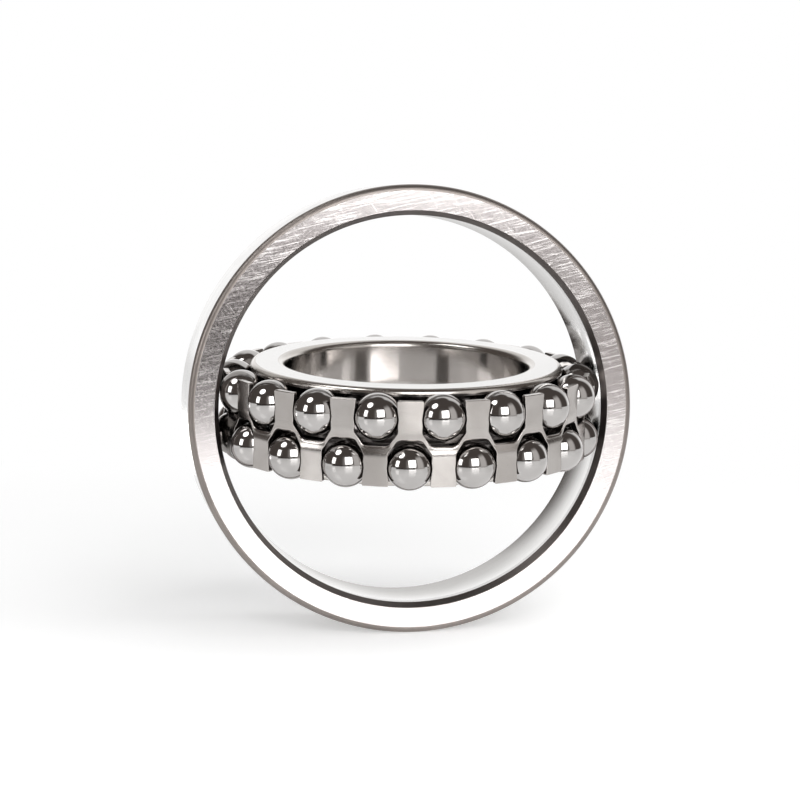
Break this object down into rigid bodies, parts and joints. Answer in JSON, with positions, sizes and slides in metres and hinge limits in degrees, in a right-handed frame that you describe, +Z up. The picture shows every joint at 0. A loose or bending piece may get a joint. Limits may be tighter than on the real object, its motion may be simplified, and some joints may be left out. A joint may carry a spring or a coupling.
{
  "type": "self-aligning ball bearing",
  "caption": "Double-row self-aligning ball bearing with a spherical outer race; the inner ring, cage and balls are swivelled open, almost square to the outer ring.",
  "frame": {"origin": "centre of the spherical race, on the axes of both rings", "axes": "+Y along the outer ring's axis, X along the axis about which the inner set swivels, +Z up"},
  "size_m": [0.1, 0.0875, 0.1],
  "materials": {
    "ring_steel": "fine ground",
    "cage_steel": "pressed, satin",
    "ball_steel": "polished"
  },
  "bodies": {
    "outer_ring": {"outer_ring": "ring_steel"},
    "cage": {"cage": "cage_steel", "ball_upper_01": "ball_steel", "ball_upper_02": "ball_steel", "ball_upper_03": "ball_steel", "ball_upper_04": "ball_steel", "ball_upper_05": "ball_steel", "ball_upper_06": "ball_steel", "ball_upper_07": "ball_steel", "ball_upper_08": "ball_steel", "ball_upper_09": "ball_steel", "ball_upper_10": "ball_steel", "ball_upper_11": "ball_steel", "ball_upper_12": "ball_steel", "ball_upper_13": "ball_steel", "ball_upper_14": "ball_steel", "ball_upper_15": "ball_steel", "ball_upper_16": "ball_steel", "ball_upper_17": "ball_steel", "ball_upper_18": "ball_steel", "ball_lower_01": "ball_steel", "ball_lower_02": "ball_steel", "ball_lower_03": "ball_steel", "ball_lower_04": "ball_steel", "ball_lower_05": "ball_steel", "ball_lower_06": "ball_steel", "ball_lower_07": "ball_steel", "ball_lower_08": "ball_steel", "ball_lower_09": "ball_steel", "ball_lower_10": "ball_steel", "ball_lower_11": "ball_steel", "ball_lower_12": "ball_steel", "ball_lower_13": "ball_steel", "ball_lower_14": "ball_steel", "ball_lower_15": "ball_steel", "ball_lower_16": "ball_steel", "ball_lower_17": "ball_steel", "ball_lower_18": "ball_steel"},
    "inner_ring": {"inner_ring": "ring_steel"}
  },
  "joints": [
    {"name": "swivel", "type": "hinge", "parent": "outer_ring", "child": "cage", "pos_m": [0, 0, 0], "axis": [1, 0, 0], "continuous": true},
    {"name": "inner_spin", "type": "hinge", "parent": "cage", "child": "inner_ring", "pos_m": [0, 0, 0], "axis": [0, -0.0967, 0.9953], "continuous": true}
  ]
}
